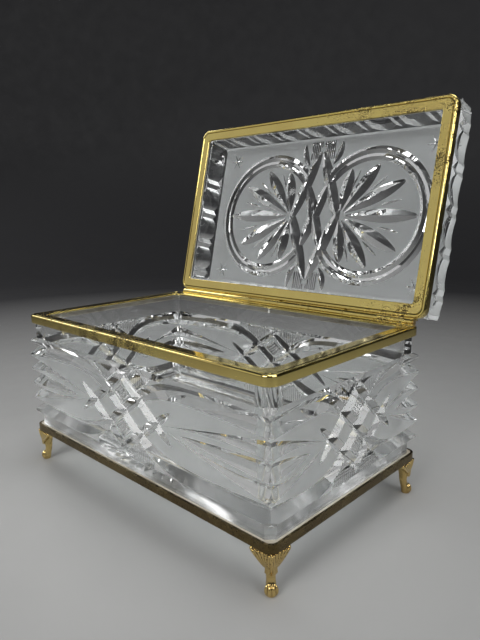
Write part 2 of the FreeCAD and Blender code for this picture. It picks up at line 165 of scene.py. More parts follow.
def makeGiltWear():
    group, given, out = newGroup(
        "giltWear",
        [("Vector", vectorSocket, (0, 0, 0)), ("Gilt", colourSocket, (0.8, 0.6, 0.2, 1)),
         ("Thin", colourSocket, (0.5, 0.3, 0.1, 1)), ("Pit", colourSocket, (0.06, 0.04, 0.02, 1)),
         ("Thinning", floatSocket, 0.3), ("Pitting", floatSocket, 0.4), ("Pit Scale", floatSocket, 900.0)],
        [("Color", colourSocket), ("Pits", floatSocket), ("Height", floatSocket)],
    )
    value = given.outputs
    place = value["Vector"]
    clouds = noise(group, place, gilding["cloudScale"], gilding["cloudDetail"])
    thin = maths(group, "MULTIPLY", spread(group, clouds, *gilding["cloudSpan"]), value["Thinning"])
    blotches = noise(group, place, gilding["patchScale"], gilding["patchDetail"])
    patches = spread(group, blotches, *gilding["patchSpan"])
    specks = noise(group, place, value["Pit Scale"], gilding["speckDetail"], gilding["speckBreakUp"])
    gain = maths(group, "MULTIPLY", value["Pitting"], gilding["pitGain"])
    level = maths(group, "ADD", gilding["pitLevel"], maths(group, "MULTIPLY", patches, gain))
    pits = spread(group, maths(group, "SUBTRACT", level, specks), 0.0, gilding["pitEdge"])
    worn = mixColour(group, thin, value["Gilt"], value["Thin"])
    group.links.new(mixColour(group, pits, worn, value["Pit"]), out.inputs["Color"])
    group.links.new(pits, out.inputs["Pits"])
    group.links.new(maths(group, "SUBTRACT", 1.0, pits), out.inputs["Height"])
    return group


handling = makeHandling()
giltWear = makeGiltWear()


def newMaterial(name):
    material = bpy.data.materials.new(name)
    material.use_nodes = True
    tree = material.node_tree
    return material, tree, tree.nodes["Principled BSDF"]


def addMarks(tree, place, look):
    settings = {"Vector": place, "Scale": look["grain"], "Smooth": look["smooth"], "Rough": look["rough"]}
    return addNode(tree, "ShaderNodeGroup", settings, node_tree=handling).outputs


def addBump(tree, shader, height, relief):
    bump = addNode(tree, "ShaderNodeBump", {"Height": height, "Distance": relief})
    tree.links.new(bump.outputs["Normal"], shader.inputs["Normal"])


# Glass lets light fall through to the table, so its shadow stays soft and clear
def lightenShadow(tree, shader, tint):
    rays = addNode(tree, "ShaderNodeLightPath")
    clear = addNode(tree, "ShaderNodeBsdfTransparent", {"Color": tint})
    mixed = addNode(tree, "ShaderNodeMixShader", {0: rays.outputs["Is Shadow Ray"]})
    tree.links.new(shader.outputs["BSDF"], mixed.inputs[1])
    tree.links.new(clear.outputs["BSDF"], mixed.inputs[2])
    tree.links.new(mixed.outputs["Shader"], tree.nodes["Material Output"].inputs["Surface"])


def makeCrystal(name, look):
    material, tree, shader = newMaterial(name)
    marks = addMarks(tree, objectPlace(tree), look)
    tree.links.new(marks["Roughness"], shader.inputs["Roughness"])
    if look["relief"]:
        addBump(tree, shader, marks["Height"], look["relief"])
    shader.inputs["Base Color"].default_value = look["colour"]
    shader.inputs["IOR"].default_value = look["ior"]
    shader.inputs["Transmission Weight"].default_value = look["clear"]
    lightenShadow(tree, shader, look["shadow"])
    return material


satinLook = dict(
    colour=(0.93, 0.95, 0.95, 1), ior=1.54, clear=0.78, smooth=0.46, rough=0.58, grain=900.0, relief=0.00002,
    shadow=(0.5, 0.52, 0.52, 1),
)
polishedLook = dict(
    colour=(0.98, 0.99, 0.99, 1), ior=1.54, clear=1.0, smooth=0.0, rough=0.03, grain=70.0, relief=0.0,
    shadow=(0.62, 0.64, 0.64, 1),
)
rubbedLook = dict(
    colour=(0.95, 0.97, 0.97, 1), ior=1.54, clear=1.0, smooth=0.14, rough=0.26, grain=300.0, relief=0.0,
    shadow=(0.52, 0.54, 0.54, 1),
)
satinCrystal = makeCrystal("satinCrystal", satinLook)
polishedCrystal = makeCrystal("polishedCrystal", polishedLook)
rubbedCrystal = makeCrystal("rubbedCrystal", rubbedLook)
satinSlot = 0
polishedSlot = 1
rubbedSlot = 2
crystal = (satinCrystal, polishedCrystal, rubbedCrystal)


# Spots are a place and a reach in millimetres, where the gilding is pitted
def spotShare(tree, place, spots, most):
    share = None
    for centre, reach in spots:
        away = addNode(tree, "ShaderNodeVectorMath", {0: place, 1: Vector(centre) * mm}, operation="DISTANCE")
        near = spread(tree, away.outputs["Value"], reach * mm, reach * mm * gilding["spotCore"], 0.0, most)
        share = maths(tree, "MAXIMUM", share, near) if share else near
    return share


def makeBrass(name, look):
    material, tree, shader = newMaterial(name)
    place = objectPlace(tree)
    settings = {"Vector": place, "Gilt": look["gilt"], "Thin": look["thin"], "Pit": look["pit"],
                "Thinning": look["thinning"], "Pitting": look["pitting"], "Pit Scale": look["pitScale"]}
    if "spots" in look:
        settings["Pitting"] = spotShare(tree, place, look["spots"], look["pitting"])
    wear = addNode(tree, "ShaderNodeGroup", settings, node_tree=giltWear).outputs
    colour = wear["Color"]
    if "recess" in look:
        hollow = addNode(tree, "ShaderNodeNewGeometry").outputs["Pointiness"]
        colour = mixColour(tree, spread(tree, hollow, *gilding["recessSpan"]), look["recess"], colour)
    tree.links.new(colour, shader.inputs["Base Color"])
    marks = addMarks(tree, place, look)
    pitRough = maths(tree, "MULTIPLY", wear["Pits"], gilding["pitRough"])
    tree.links.new(maths(tree, "ADD", marks["Roughness"], pitRough), shader.inputs["Roughness"])
    addBump(tree, shader, wear["Height"], look["relief"])
    shader.inputs["Metallic"].default_value = 1.0
    return material


rimLook = dict(
    gilt=(0.82, 0.67, 0.23, 1), thin=(0.6, 0.4, 0.13, 1), pit=(0.07, 0.05, 0.02, 1),
    thinning=0.4, pitting=0.62, pitScale=1900.0, grain=80.0, smooth=0.05, rough=0.13, relief=0.00004,
    recess=(0.1, 0.07, 0.02, 1),
    spots=(((75, 110, 214), 75), ((95, 100, 190), 45), ((-20, -61, 92), 85), ((88, 63, 95), 32)),
)
# Painted reflection and shade: the base band's colours are set far darker than the rim's gilt, standing in
# for the dark reflection and shade that fall on the band
paintedShadeBaseLook = dict(
    gilt=(0.17, 0.125, 0.05, 1), thin=(0.08, 0.055, 0.025, 1), pit=(0.03, 0.02, 0.012, 1),
    thinning=0.8, pitting=0.3, pitScale=1300.0, grain=80.0, smooth=0.18, rough=0.34, relief=0.0001,
)
castLook = dict(
    gilt=(0.84, 0.64, 0.26, 1), thin=(0.42, 0.26, 0.1, 1), pit=(0.06, 0.04, 0.02, 1),
    thinning=0.6, pitting=0.25, pitScale=1600.0, grain=220.0, smooth=0.14, rough=0.3, relief=0.0001,
    recess=(0.1, 0.065, 0.03, 1),
)
plainLook = dict(
    gilt=(0.72, 0.52, 0.2, 1), thin=(0.5, 0.32, 0.12, 1), pit=(0.08, 0.05, 0.02, 1),
    thinning=0.5, pitting=0.2, pitScale=1600.0, grain=260.0, smooth=0.16, rough=0.28, relief=0.00005,
)
giltRim = makeBrass("giltRim", rimLook)
paintedShadeBase = makeBrass("paintedShadeBase", paintedShadeBaseLook)
castBrass = makeBrass("castBrass", castLook)
plainBrass = makeBrass("plainBrass", plainLook)

cementLook = dict(
    colour=(0.5, 0.46, 0.38, 1), grain=420.0, smooth=0.75, rough=0.95, relief=0.0001,
    stain=(0.3, 0.25, 0.18, 1), stainScale=40.0, stainDetail=5.0, stainSpan=(0.45, 0.7),
)


def makeCement(name, look):
    material, tree, shader = newMaterial(name)
    place = objectPlace(tree)
    clouds = noise(tree, place, look["stainScale"], look["stainDetail"])
    stain = spread(tree, clouds, *look["stainSpan"])
    tree.links.new(mixColour(tree, stain, look["colour"], look["stain"]), shader.inputs["Base Color"])
    marks = addMarks(tree, place, look)
    tree.links.new(marks["Roughness"], shader.inputs["Roughness"])
    addBump(tree, shader, marks["Height"], look["relief"])
    return material


bedCement = makeCement("bedCement", cementLook)
print("finishes made")


# Meshes: a shape has points in millimetres, faces, and a finish slot for each face
def newShape():
    return {"points": [], "faces": [], "slots": []}


def addLoft(shape, rings, slots=None, joined=False):
    spans = []
    for ring in rings:
        first = len(shape["points"])
        shape["points"].extend(ring)
        spans.append(range(first, first + len(ring)))
    pairs = list(zip(spans, spans[1:]))
    if joined:
        pairs.append((spans[-1], spans[0]))
    slots = slots or [polishedSlot] * len(pairs)
    for (here, there), slot in zip(pairs, slots):
        around = max(len(here), len(there))
        for i in range(around):
            j = (i + 1) % around
            corners = (here[i % len(here)], here[j % len(here)], there[j % len(there)], there[i % len(there)])
            shape["faces"].append(tuple(dict.fromkeys(corners)))
            shape["slots"].append(slot)
    if not joined:
        for end, slot in ((spans[0], slots[0]), (spans[-1], slots[-1])):
            if len(end) > 2:
                shape["faces"].append(tuple(end))
                shape["slots"].append(slot)


def makePiece(name, shape, materials, move=None):
    mesh = bpy.data.meshes.new(name)
    points = [Vector(point) for point in shape["points"]]
    if move:
        points = [move @ point for point in points]
    mesh.from_pydata([point * mm for point in points], [], shape["faces"])
    for material in materials:
        mesh.materials.append(material)
    if len(materials) > 1:
        mesh.polygons.foreach_set("material_index", shape["slots"])
    work = bmesh.new()
    work.from_mesh(mesh)
    bmesh.ops.recalc_face_normals(work, faces=work.faces)
    work.to_mesh(mesh)
    work.free()
    piece = bpy.data.objects.new(name, mesh)
    scene.collection.objects.link(piece)
    return piece


def settle(piece):
    shown = piece.evaluated_get(bpy.context.evaluated_depsgraph_get())
    finished = bpy.data.meshes.new_from_object(shown)
    piece.modifiers.clear()
    old = piece.data
    piece.data = finished
    finished.name = piece.name
    bpy.data.meshes.remove(old)


def carve(piece, cutterShapes):
    cutters = []
    for shape in cutterShapes:
        cutter = makePiece("cutter", shape, piece.data.materials[:])
        step = piece.modifiers.new("cut", "BOOLEAN")
        step.operation = "DIFFERENCE"
        step.solver = "MANIFOLD"
        step.object = cutter
        cutters.append(cutter)
    settle(piece)
    for cutter in cutters:
        shape = cutter.data
        bpy.data.objects.remove(cutter)
        bpy.data.meshes.remove(shape)


def shadeCrisp(piece, angle):
    piece.data.shade_smooth()
    piece.data.set_sharp_from_angle(angle=math.radians(angle))
    weighted = piece.modifiers.new("flatFaces", "WEIGHTED_NORMAL")
    weighted.keep_sharp = True
    weighted.weight = faceWeight


def dress(piece, body, slot, *replaced):
    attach(piece, body)
    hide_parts(*replaced)


# Plans of the box, seen from above
def cutPlan(height, setIn, chamfer):
    x = halfLength - setIn
    y = halfDepth - setIn
    plan = []
    for sideX, sideY in ((1, 1), (-1, 1), (-1, -1), (1, -1)):
        onLong = Vector((sideX * (x - chamfer), sideY * y, height))
        onShort = Vector((sideX * x, sideY * (y - chamfer), height))
        plan += [onShort, onLong] if sideX * sideY > 0 else [onLong, onShort]
    return plan


def roundPlan(height, halfX, halfY, radius, steps=8):
    plan = []
    for quarter, (sideX, sideY) in enumerate(((1, 1), (-1, 1), (-1, -1), (1, -1))):
        for i in range(steps + 1):
            turn = math.pi / 2 * (quarter + i / steps)
            x = sideX * (halfX - radius) + radius * math.cos(turn)
            y = sideY * (halfY - radius) + radius * math.sin(turn)
            plan.append(Vector((x, y, height)))
    return plan


# A side turns along, out and height into a point
def boxSide(number):
    outward = (Vector((0, -1, 0)), Vector((1, 0, 0)), Vector((0, 1, 0)), Vector((-1, 0, 0)))[number]
    along = up.cross(outward)
    reach = halfLength if number % 2 else halfDepth
    return lambda a, out, h: along * a + outward * (reach + out) + up * h


# V cuts: a line of (along, height, depth) on a side
def addSweep(shape, side, line, slope):
    rings = []
    for i, (a, h, depth) in enumerate(line):
        before = line[max(i - 1, 0)]
        after = line[min(i + 1, len(line) - 1)]
        reach = math.hypot(after[0] - before[0], after[1] - before[1])
        half = (depth + overrun) * slope
        stepA = -(after[1] - before[1]) / reach * half
        stepH = (after[0] - before[0]) / reach * half
        if half > 0:
            edges = [side(a + hand * stepA, overrun, h + hand * stepH) for hand in (1, -1)]
            rings.append([side(a, -depth, h)] + edges)
        else:
            rings.append([side(a, overrun, h)])
    addLoft(shape, rings)


def sweepTool(side, line, slope):
    shape = newShape()
    addSweep(shape, side, line, slope)
    return shape


# A straight leaf cut that swells to its depth and comes to a tip at both ends
def leafLine(start, end, depth, fullness=2.0, steps=14, belly=0.0, lean=1.0):
    run = end[0] - start[0]
    rise = end[1] - start[1]
    line = []
    for i in range(steps + 1):
        t = i / steps
        deep = depth * (1 - abs(2 * t ** lean - 1) ** fullness)
        bow = belly * 4 * t * (1 - t)
        point = (start[0] + run * t - rise * bow, start[1] + rise * t + run * bow)
        line.append((point[0], point[1], -overrun if i in (0, steps) else deep))
    return line


# Fine straight lines side by side, each with upright walls above the glass so that they never meet
def addFineLine(shape, side, start, end, depth, half, taper):
    run = Vector((end[0] - start[0], end[1] - start[1]))
    reach = run.length
    run.normalize()
    cross = Vector((-run.y, run.x))
    rings = []
    stops = [(0, 0 if taper[0] else 1), (taper[0], 1), (reach - taper[1], 1), (reach, 0 if taper[1] else 1)]
    for far, full in dict(stops).items():
        middle = Vector(start) + run * far
        if not full:
            rings.append([side(middle.x, fineTip, middle.y)])
            continue
        ring = []
        for step, out in ((0, -depth), (half, 0), (half, overrun), (-half, overrun), (-half, 0)):
            ring.append(side(middle.x + cross.x * step, out, middle.y + cross.y * step))
        rings.append(ring)
    addLoft(shape, rings)


def bezier(ends, steps, depthAt):
    line = []
    for i in range(steps + 1):
        t = i / steps
        weights = ((1 - t) ** 3, 3 * t * (1 - t) ** 2, 3 * t ** 2 * (1 - t), t ** 3)
        a = sum(weight * end[0] for weight, end in zip(weights, ends))
        h = sum(weight * end[1] for weight, end in zip(weights, ends))
        line.append((a, h, depthAt(t)))
    return line


# The glass box: six ridges at each corner, grooves that sweep onto the sides, a lattice in each middle
box = dict(
    wall=8.0, floor=8.0, cavityRadius=5.0, floorFillet=5.0, filletSteps=6, draft=0.5, seatGap=0.03, crease=24,
    footSetIn=2.5, footChamfer=3.6, collarSetIn=2.1, collarChamfer=4.8, cornerChamfer=1.5,
    firstRidge=11.0, collar=14.8, ridges=6, land=0.35, grooveDepth=4.3,
    longCell=13.4, shortCell=10.2, latticeMargin=4.0, latticeRise=1.2, latticeDepth=2.8,
    latticeEnds=((3.0, -1.0), (-0.5, 2.5)), latticeFullness=3.0,  # ends in cells from the middle
    crestRise=2.5, sweepPull=1.35, sweepSteps=22, innerGap=1.5,
    middleGap=14.0, middleCurve=1.5, middleSteps=8,
    reedPitch=1.6, reedDepth=0.5, reedSpan=1.9, reedGap=3.2, reedOver=1.2, reedLeast=1.0, reedTip=1.0,
    hatchPitch=1.6, hatchDepth=0.55, hatchGap=0.7, hatchTip=0.8,
    starRays=40, starRoot=9.0, starDepth=2.2, starReach=(84.0, 46.0), starFill=0.4,
)
firstRidge = glassLow.z + box["firstRidge"]
lastRidge = glassHigh.z - box["collar"]
ridgePitch = (lastRidge - firstRidge) / (box["ridges"] - 1)
grooveSlope = (ridgePitch - box["land"]) / 2 / box["grooveDepth"]
fieldMiddle = (firstRidge + lastRidge) / 2
cellHeight = (lastRidge - fieldMiddle - box["latticeMargin"]) / 2
latticeMiddle = fieldMiddle + box["latticeRise"]


def grooveHeight(number):
    return lastRidge - (number - 0.5) * ridgePitch


def toCorner(line):
    a, h, depth = line[0]
    return [(a + overrun, h, depth)] + line


def handed(line, hand):
    return [(hand * a, h, depth) for a, h, depth in line]


# From a corner's outermost groove, over a low crest, into the lattice
def outerSweep(halfRun, cell, above):
    h = grooveHeight(1 if above > 0 else box["ridges"] - 1)
    crossing = (cell, latticeMiddle + above * cellHeight)
    crest = ((halfRun + cell) / 2, h + above * box["crestRise"])
    pull = (cell * (1 + box["sweepPull"]), crossing[1] + above * cellHeight * box["sweepPull"])
    fall = box["grooveDepth"] - box["latticeDepth"]
    return bezier(((halfRun, h), crest, pull, crossing), box["sweepSteps"],
                  lambda t: box["grooveDepth"] - fall * t ** 3)


def innerSweep(halfRun, cell, number):
    h = grooveHeight(number)
    end = 2 * cell + box["innerGap"]
    third = (halfRun - end) / 3
    ends = ((halfRun, h), (halfRun - third, h), (end + third, (h + latticeMiddle) / 2), (end, latticeMiddle))
    line = bezier(ends, box["sweepSteps"], lambda t: box["grooveDepth"] * (1 - t) ** 2)
    return line[:-1] + [(*line[-1][:2], -overrun)]


def middleSweep(halfRun, cell, number):
    h = grooveHeight(number)
    tip = 2 * cell + box["middleGap"]
    line = []
    for i in range(box["middleSteps"] + 1):
        t = i / box["middleSteps"]
        line.append((halfRun + (tip - halfRun) * t, h, box["grooveDepth"] * (1 - t ** box["middleCurve"])))
    return line[:-1] + [(*line[-1][:2], -overrun)]


def cornerTools(side, halfRun, cell):
    tools = []
    for hand in (1, -1):
        entering = handed(toCorner(outerSweep(halfRun, cell, 1)), hand)
        leaving = handed(toCorner(outerSweep(halfRun, cell, -1)), -hand)
        tools.append(sweepTool(side, entering + leaving[::-1], grooveSlope))
        for number in range(2, box["ridges"] - 1):
            makeLine = middleSweep if 2 * number == box["ridges"] else innerSweep
            line = toCorner(makeLine(halfRun, cell, number))
            tools.append(sweepTool(side, handed(line, hand), grooveSlope))
    return tools


def latticeTools(side, cell):
    tools = []
    for hand in (1, -1):
        for above in (1, -1):
            ends = []
            for across, rise in box["latticeEnds"]:
                ends.append((hand * cell * across, latticeMiddle + above * cellHeight * rise))
            line = leafLine(*ends, box["latticeDepth"], box["latticeFullness"])
            tools.append(sweepTool(side, line, grooveSlope))
    return tools


# Fine upright lines between the lattice and the bevels
def reedTool(side, cell):
    shape = newShape()
    half = box["reedPitch"] / 2 - fineGap
    tips = (box["reedTip"], 0)
    count = int(box["reedSpan"] * cell / box["reedPitch"])
    for i in range(-count, count + 1):
        a = i * box["reedPitch"]
        off = abs(abs(a) - cell) / cell
        for above, ridge in ((1, lastRidge), (-1, firstRidge)):
            inner = latticeMiddle + above * (cellHeight * (1 + off) + box["reedGap"])
            outer = ridge + above * box["reedOver"]
            if above * (ridge - inner) > box["reedLeast"]:
                addFineLine(shape, side, (a, inner), (a, outer), box["reedDepth"], half, tips)
    return shape


# Fine crossed lines in the diamonds above and below the lattice's middle
def hatchTools(side, cell):
    tools = []
    edge = math.hypot(cell, cellHeight)
    gap = cell * cellHeight / edge
    room = gap - box["latticeDepth"] * grooveSlope - box["hatchGap"]
    count = int(room / box["hatchPitch"])
    reach = edge * (room / gap) / 2
    half = box["hatchPitch"] / 2 - fineGap
    tips = (box["hatchTip"], box["hatchTip"])
    for hand in (1, -1):
        shape = newShape()
        run = Vector((hand * cell, cellHeight)) / edge
        cross = Vector((-hand * cell, cellHeight)) / edge
        step = box["hatchPitch"] / abs(run.x * cross.y - run.y * cross.x)
        for above in (1, -1):
            middle = Vector((0, latticeMiddle + above * cellHeight))
            for i in range(-count, count + 1):
                at = middle + cross * (step * i)
                addFineLine(shape, side, at - run * reach, at + run * reach, box["hatchDepth"], half, tips)
        tools.append(shape)
    return tools


def underSide(a, out, b):
    return Vector((a, b, glassLow.z - out))


def starTool():
    shape = newShape()
    reachX, reachY = box["starReach"]
    for i in range(box["starRays"]):
        turn = 2 * math.pi * (i + 0.5) / box["starRays"]
        way = Vector((math.cos(turn), math.sin(turn)))
        reach = 1 / math.hypot(way.x / reachX, way.y / reachY)
        pitch = 2 * math.pi / box["starRays"] * (box["starRoot"] + reach) / 2
        width = box["starFill"] * pitch
        depth = min(box["starDepth"], width)
        addSweep(shape, underSide, leafLine(way * box["starRoot"], way * reach, depth), width / depth)
    return shape


def cavityShape():
    shape = newShape()
    halfX = halfLength - box["wall"]
    halfY = halfDepth - box["wall"]
    bottom = glassLow.z + box["floor"]
    fillet = box["floorFillet"]
    radius = box["cavityRadius"] + box["draft"]
    rings = []
    for i in range(box["filletSteps"] + 1):
        turn = math.pi / 2 * i / box["filletSteps"]
        rise = fillet * (1 - math.cos(turn))
        inset = box["draft"] + fillet * (1 - math.sin(turn))
        rings.append(roundPlan(bottom + rise, halfX - inset, halfY - inset, radius))
    rings.append(roundPlan(glassHigh.z + overrun, halfX, halfY, box["cavityRadius"]))
    addLoft(shape, rings)
    return shape


def makeGlassBox():
    gap = box["seatGap"]
    footIn = box["footSetIn"] + gap
    collarIn = box["collarSetIn"] + gap
    shape = newShape()
    addLoft(shape, [
        cutPlan(glassLow.z + gap, footIn, box["footChamfer"]),
        cutPlan(firstRidge - footIn * grooveSlope, footIn, box["footChamfer"]),
        cutPlan(firstRidge, 0, box["cornerChamfer"]),
        cutPlan(lastRidge, 0, box["cornerChamfer"]),
        cutPlan(lastRidge + collarIn * grooveSlope, collarIn, box["collarChamfer"]),
        cutPlan(glassHigh.z - gap, collarIn, box["collarChamfer"]),
    ], [polishedSlot, polishedSlot, satinSlot, polishedSlot, polishedSlot])
    shape["slots"][-2] = rubbedSlot  # the underside
    piece = makePiece("cutGlassBox", shape, crystal)
    tools = [cavityShape(), starTool()]
    for number in range(4):
        side = boxSide(number)
        halfRun = halfDepth if number % 2 else halfLength
        cell = box["shortCell"] if number % 2 else box["longCell"]
        tools.append(reedTool(side, cell))
        tools += hatchTools(side, cell)
        tools += latticeTools(side, cell)
        tools += cornerTools(side, halfRun, cell)
    carve(piece, tools)
    shadeCrisp(piece, box["crease"])
    dress(piece, "box", "cut_glass", "glass_body")
    print("glass box cut with", len(tools), "tools,", len(piece.data.polygons), "faces")


makeGlassBox()


# The glass lid, made shut and then turned open
lid = dict(
    height=25.0, panel=6.0, wall=8.0, draft=1.5, cavityRadius=2.0, edge=1.1, seatGap=0.03, crease=24,
    rimHeight=5.0, collarShow=1.4, flangeSheet=1.6, bevelHeight=6.0, bevelRun=4.0,
    scallopPitch=23.0, pairWidth=6.3, scallopDepth=2.5, notchDepth=1.5, scallopFoot=6.5, scallopSteps=16,
    scallopFade=((-2.5, 1.04), (0.0, 0.36), (2.5, 0.08), (5.0, 0.0)),  # height, share of the depth left
    ringOffset=41.0, ringSteps=96, rings=((37.4, 2.2, 1.8), (42.0, 2.3, 1.9)),  # radius, half width, depth
    fanOffset=20.0, fanRoot=1.5, fan=((0, 58.0), (26, 51.5), (52, 43.0), (80, 32.5)),  # angle, reach
    fanHalf=4.5, fanDepth=2.6, fanLean=1.25,
    rayHalf=0.7, rayDepth=0.6, rays=((13, 30.0, 46.0), (38, 25.0, 41.0), (68, 18.0, 33.0)),  # angle, from, to
    latticeWidth=18.4, latticeHeight=46.0, latticeHalf=4.4, latticeDepth=2.8, latticeOver=0.14,
    latticeFullness=2.8,
    petals=((8.8, 34.0), (15.0, 51.0)), petalHalf=2.5, petalDepth=1.7, petalBelly=-0.12,
    starAt=(80.0, 42.0), starReach=7.0, starHalf=0.55, starDepth=0.5, starTurns=(0, 60, 120), starSteps=8,
    reedFrom=38.0, reedTo=51.0, reedPitch=1.5, reedDepth=0.45, reedCount=6, reedGap=4.0, reedLeast=2.0,
    reedTip=1.0,
)
lidTop = parting + lid["height"]
lidCeiling = lidTop - lid["panel"]


def lidFace(a, out, b):
    return Vector((a, b, lidTop + out))


def scallopTools(number):
    side = boxSide(number)
    halfRun = halfDepth if number % 2 else halfLength
    low = parting + lid["scallopFoot"]
    high = lidTop + overrun
    halfChord = (lid["scallopPitch"] - lid["pairWidth"]) / 2
    deep = lid["scallopDepth"]
    radius = (halfChord ** 2 + deep ** 2) / (2 * deep)
    hollow = []
    for i in range(lid["scallopSteps"] + 1):
        a = -halfChord + 2 * halfChord * i / lid["scallopSteps"]
        hollow.append((a, radius - deep - math.sqrt(radius ** 2 - a ** 2)))
    hollow += [(halfChord, overrun), (-halfChord, overrun)]
    levels = [(low + rise, deep * share) for rise, share in lid["scallopFade"]] + [(high, 0)]
    half = lid["pairWidth"] / 2
    notch = ((-half, overrun), (-half, 0), (0, -lid["notchDepth"]), (half, 0), (half, overrun))
    pairs = int(2 * halfRun // lid["scallopPitch"])
    hollows = newShape()
    for i in range(pairs + 1):
        middle = (i - pairs / 2) * lid["scallopPitch"]
        rings = []
        for height, fade in levels:
            rings.append([side(middle + a, out + fade, height) for a, out in hollow])
        addLoft(hollows, rings)
    notches = newShape()
    for i in range(pairs):
        middle = (i - (pairs - 1) / 2) * lid["scallopPitch"]
        addLoft(notches, [[side(middle + a, out, height) for a, out in notch] for height in (low, high)])
    return [hollows, notches]


def ringTool(radius, half, depth):
    shape = newShape()
    crossing = (lid["ringOffset"] - lid["latticeWidth"] / 2, lid["latticeHeight"] / 2)
    start = math.atan2(crossing[1], crossing[0])
    for hand in (1, -1):
        line = []
        for i in range(lid["ringSteps"] + 1):
            turn = start + (2 * math.pi - 2 * start) * i / lid["ringSteps"]
            a = lid["ringOffset"] - radius * math.cos(turn)
            line.append((hand * a, radius * math.sin(turn), depth))
        addSweep(shape, lidFace, line, half / depth)
    return shape


def fanWay(hand, above, angle):
    turn = math.radians(angle)
    return Vector((hand * math.cos(turn), above * math.sin(turn)))


def fanTools():
    leaves = newShape()
    rays = newShape()
    for hand in (1, -1):
        root = Vector((hand * lid["fanOffset"], 0))
        for above in (1, -1):
            for angle, reach in lid["fan"]:
                if angle == 0 and above < 0:
                    continue
                way = fanWay(hand, above, angle)
                start = root + way * lid["fanRoot"]
                line = leafLine(start, root + way * reach, lid["fanDepth"], lean=lid["fanLean"])
                addSweep(leaves, lidFace, line, lid["fanHalf"] / lid["fanDepth"])
            for angle, start, end in lid["rays"]:
                way = fanWay(hand, above, angle)
                line = leafLine(root + way * start, root + way * end, lid["rayDepth"])
                addSweep(rays, lidFace, line, lid["rayHalf"] / lid["rayDepth"])
    return [leaves, rays]


def lidLatticeTools():
    tools = []
    over = lid["latticeOver"]
    slope = lid["latticeHalf"] / lid["latticeDepth"]
    for hand in (1, -1):
        for shift in (-1, 0, 1):
            near = (1 + shift) / 2
            far = (1 - shift) / 2
            low = Vector((-hand * lid["latticeWidth"] * near, -lid["latticeHeight"] * far))
            high = Vector((hand * lid["latticeWidth"] * far, lid["latticeHeight"] * near))
            start = low.lerp(high, -over * near)
            end = high.lerp(low, -over * far)
            line = leafLine(start, end, lid["latticeDepth"], lid["latticeFullness"])
            tools.append(sweepTool(lidFace, line, slope))
    return tools


def petalTool():
    shape = newShape()
    (startA, startB), (endA, endB) = lid["petals"]
    for hand in (1, -1):
        for above in (1, -1):
            start = (hand * startA, above * startB)
            end = (hand * endA, above * endB)
            line = leafLine(start, end, lid["petalDepth"], belly=lid["petalBelly"] * hand * above)
            addSweep(shape, lidFace, line, lid["petalHalf"] / lid["petalDepth"])
    return shape


def lidReedTool():
    shape = newShape()
    half = lid["reedPitch"] / 2 - fineGap
    tips = (lid["reedTip"], lid["reedTip"])
    outer = lid["reedTo"]
    for above in (1, -1):
        for i in range(-lid["reedCount"], lid["reedCount"] + 1):
            a = i * lid["reedPitch"]
            lattice = lid["latticeHeight"] * (1 - abs(a) / lid["latticeWidth"])
            inner = max(lid["reedFrom"], lattice + lid["reedGap"])
            if outer - inner > lid["reedLeast"]:
                start = (a, above * inner)
                addFineLine(shape, lidFace, start, (a, above * outer), lid["reedDepth"], half, tips)
    return shape


def lidStarTools():
    tools = []
    for angle in lid["starTurns"]:
        shape = newShape()
        way = fanWay(1, 1, angle) * lid["starReach"]
        for sideX in (1, -1):
            for sideY in (1, -1):
                at = Vector((sideX * lid["starAt"][0], sideY * lid["starAt"][1]))
                line = leafLine(at - way, at + way, lid["starDepth"], steps=lid["starSteps"])
                addSweep(shape, lidFace, line, lid["starHalf"] / lid["starDepth"])
        tools.append(shape)
    return tools


def lidHollow():
    shape = newShape()
    halfX = halfLength - lid["wall"]
    halfY = halfDepth - lid["wall"]
    draft = lid["draft"]
    edge = lid["edge"]
    radius = lid["cavityRadius"]
    addLoft(shape, [
        roundPlan(parting - overrun, halfX, halfY, radius),
        roundPlan(lidCeiling - edge, halfX - draft, halfY - draft, radius),
        roundPlan(lidCeiling, halfX - draft - edge, halfY - draft - edge, radius),
    ])
    return shape


def makeGlassLid():
    gap = lid["seatGap"]
    collarIn = box["collarSetIn"] + gap
    collarEnd = parting + lid["rimHeight"] + lid["collarShow"]
    shape = newShape()
    addLoft(shape, [
        cutPlan(parting + lid["flangeSheet"] + gap, collarIn, box["collarChamfer"]),
        cutPlan(collarEnd, collarIn, box["collarChamfer"]),
        cutPlan(collarEnd + box["collarSetIn"], 0, box["cornerChamfer"]),
        cutPlan(lidTop - lid["bevelHeight"], 0, box["cornerChamfer"]),
        cutPlan(lidTop, lid["bevelRun"], box["cornerChamfer"]),
    ])
    shape["slots"][-1] = satinSlot  # the top
    piece = makePiece("cutGlassLid", shape, crystal)
    tools = [lidHollow()]
    for number in range(4):
        tools += scallopTools(number)
    tools += lidStarTools()
    tools += [lidReedTool(), petalTool()]
    tools += [ringTool(*ring) for ring in lid["rings"]]
    tools += fanTools()
    tools += lidLatticeTools()
    carve(piece, tools)
    piece.data.transform(Matrix.Scale(mm, 4) @ lidOpen @ Matrix.Scale(1 / mm, 4))
    shadeCrisp(piece, lid["crease"])
    dress(piece, "lid", "cut_glass", "glass_lid")
    print("glass lid cut with", len(tools), "tools,", len(piece.data.polygons), "faces")


makeGlassLid()


# Rims: one brass section swept round the box, with a bead, an engraved line and a turned-in lip
rim = dict(
    height=5.0, sheet=1.2, flange=7.75, setIn=0.5, corner=6.0, boxMouth=5.0, lidMouth=1.5, crease=32,
    bead=1.0, lineFrom=1.75, lineWidth=0.8, lineFloor=0.24, lineDepth=0.45, lip=0.4,
    lowEdge=0.35, lowSetIn=0.05, sideFrom=0.6, cornerSteps=12,
)


def quarterArc(centre, radius, first, steps=5):
    arc = []
    for i in range(steps + 1):
        turn = math.radians(first - 90 * i / steps)
        arc.append((centre[0] + radius * math.cos(turn), centre[1] - radius * math.sin(turn)))
    return arc


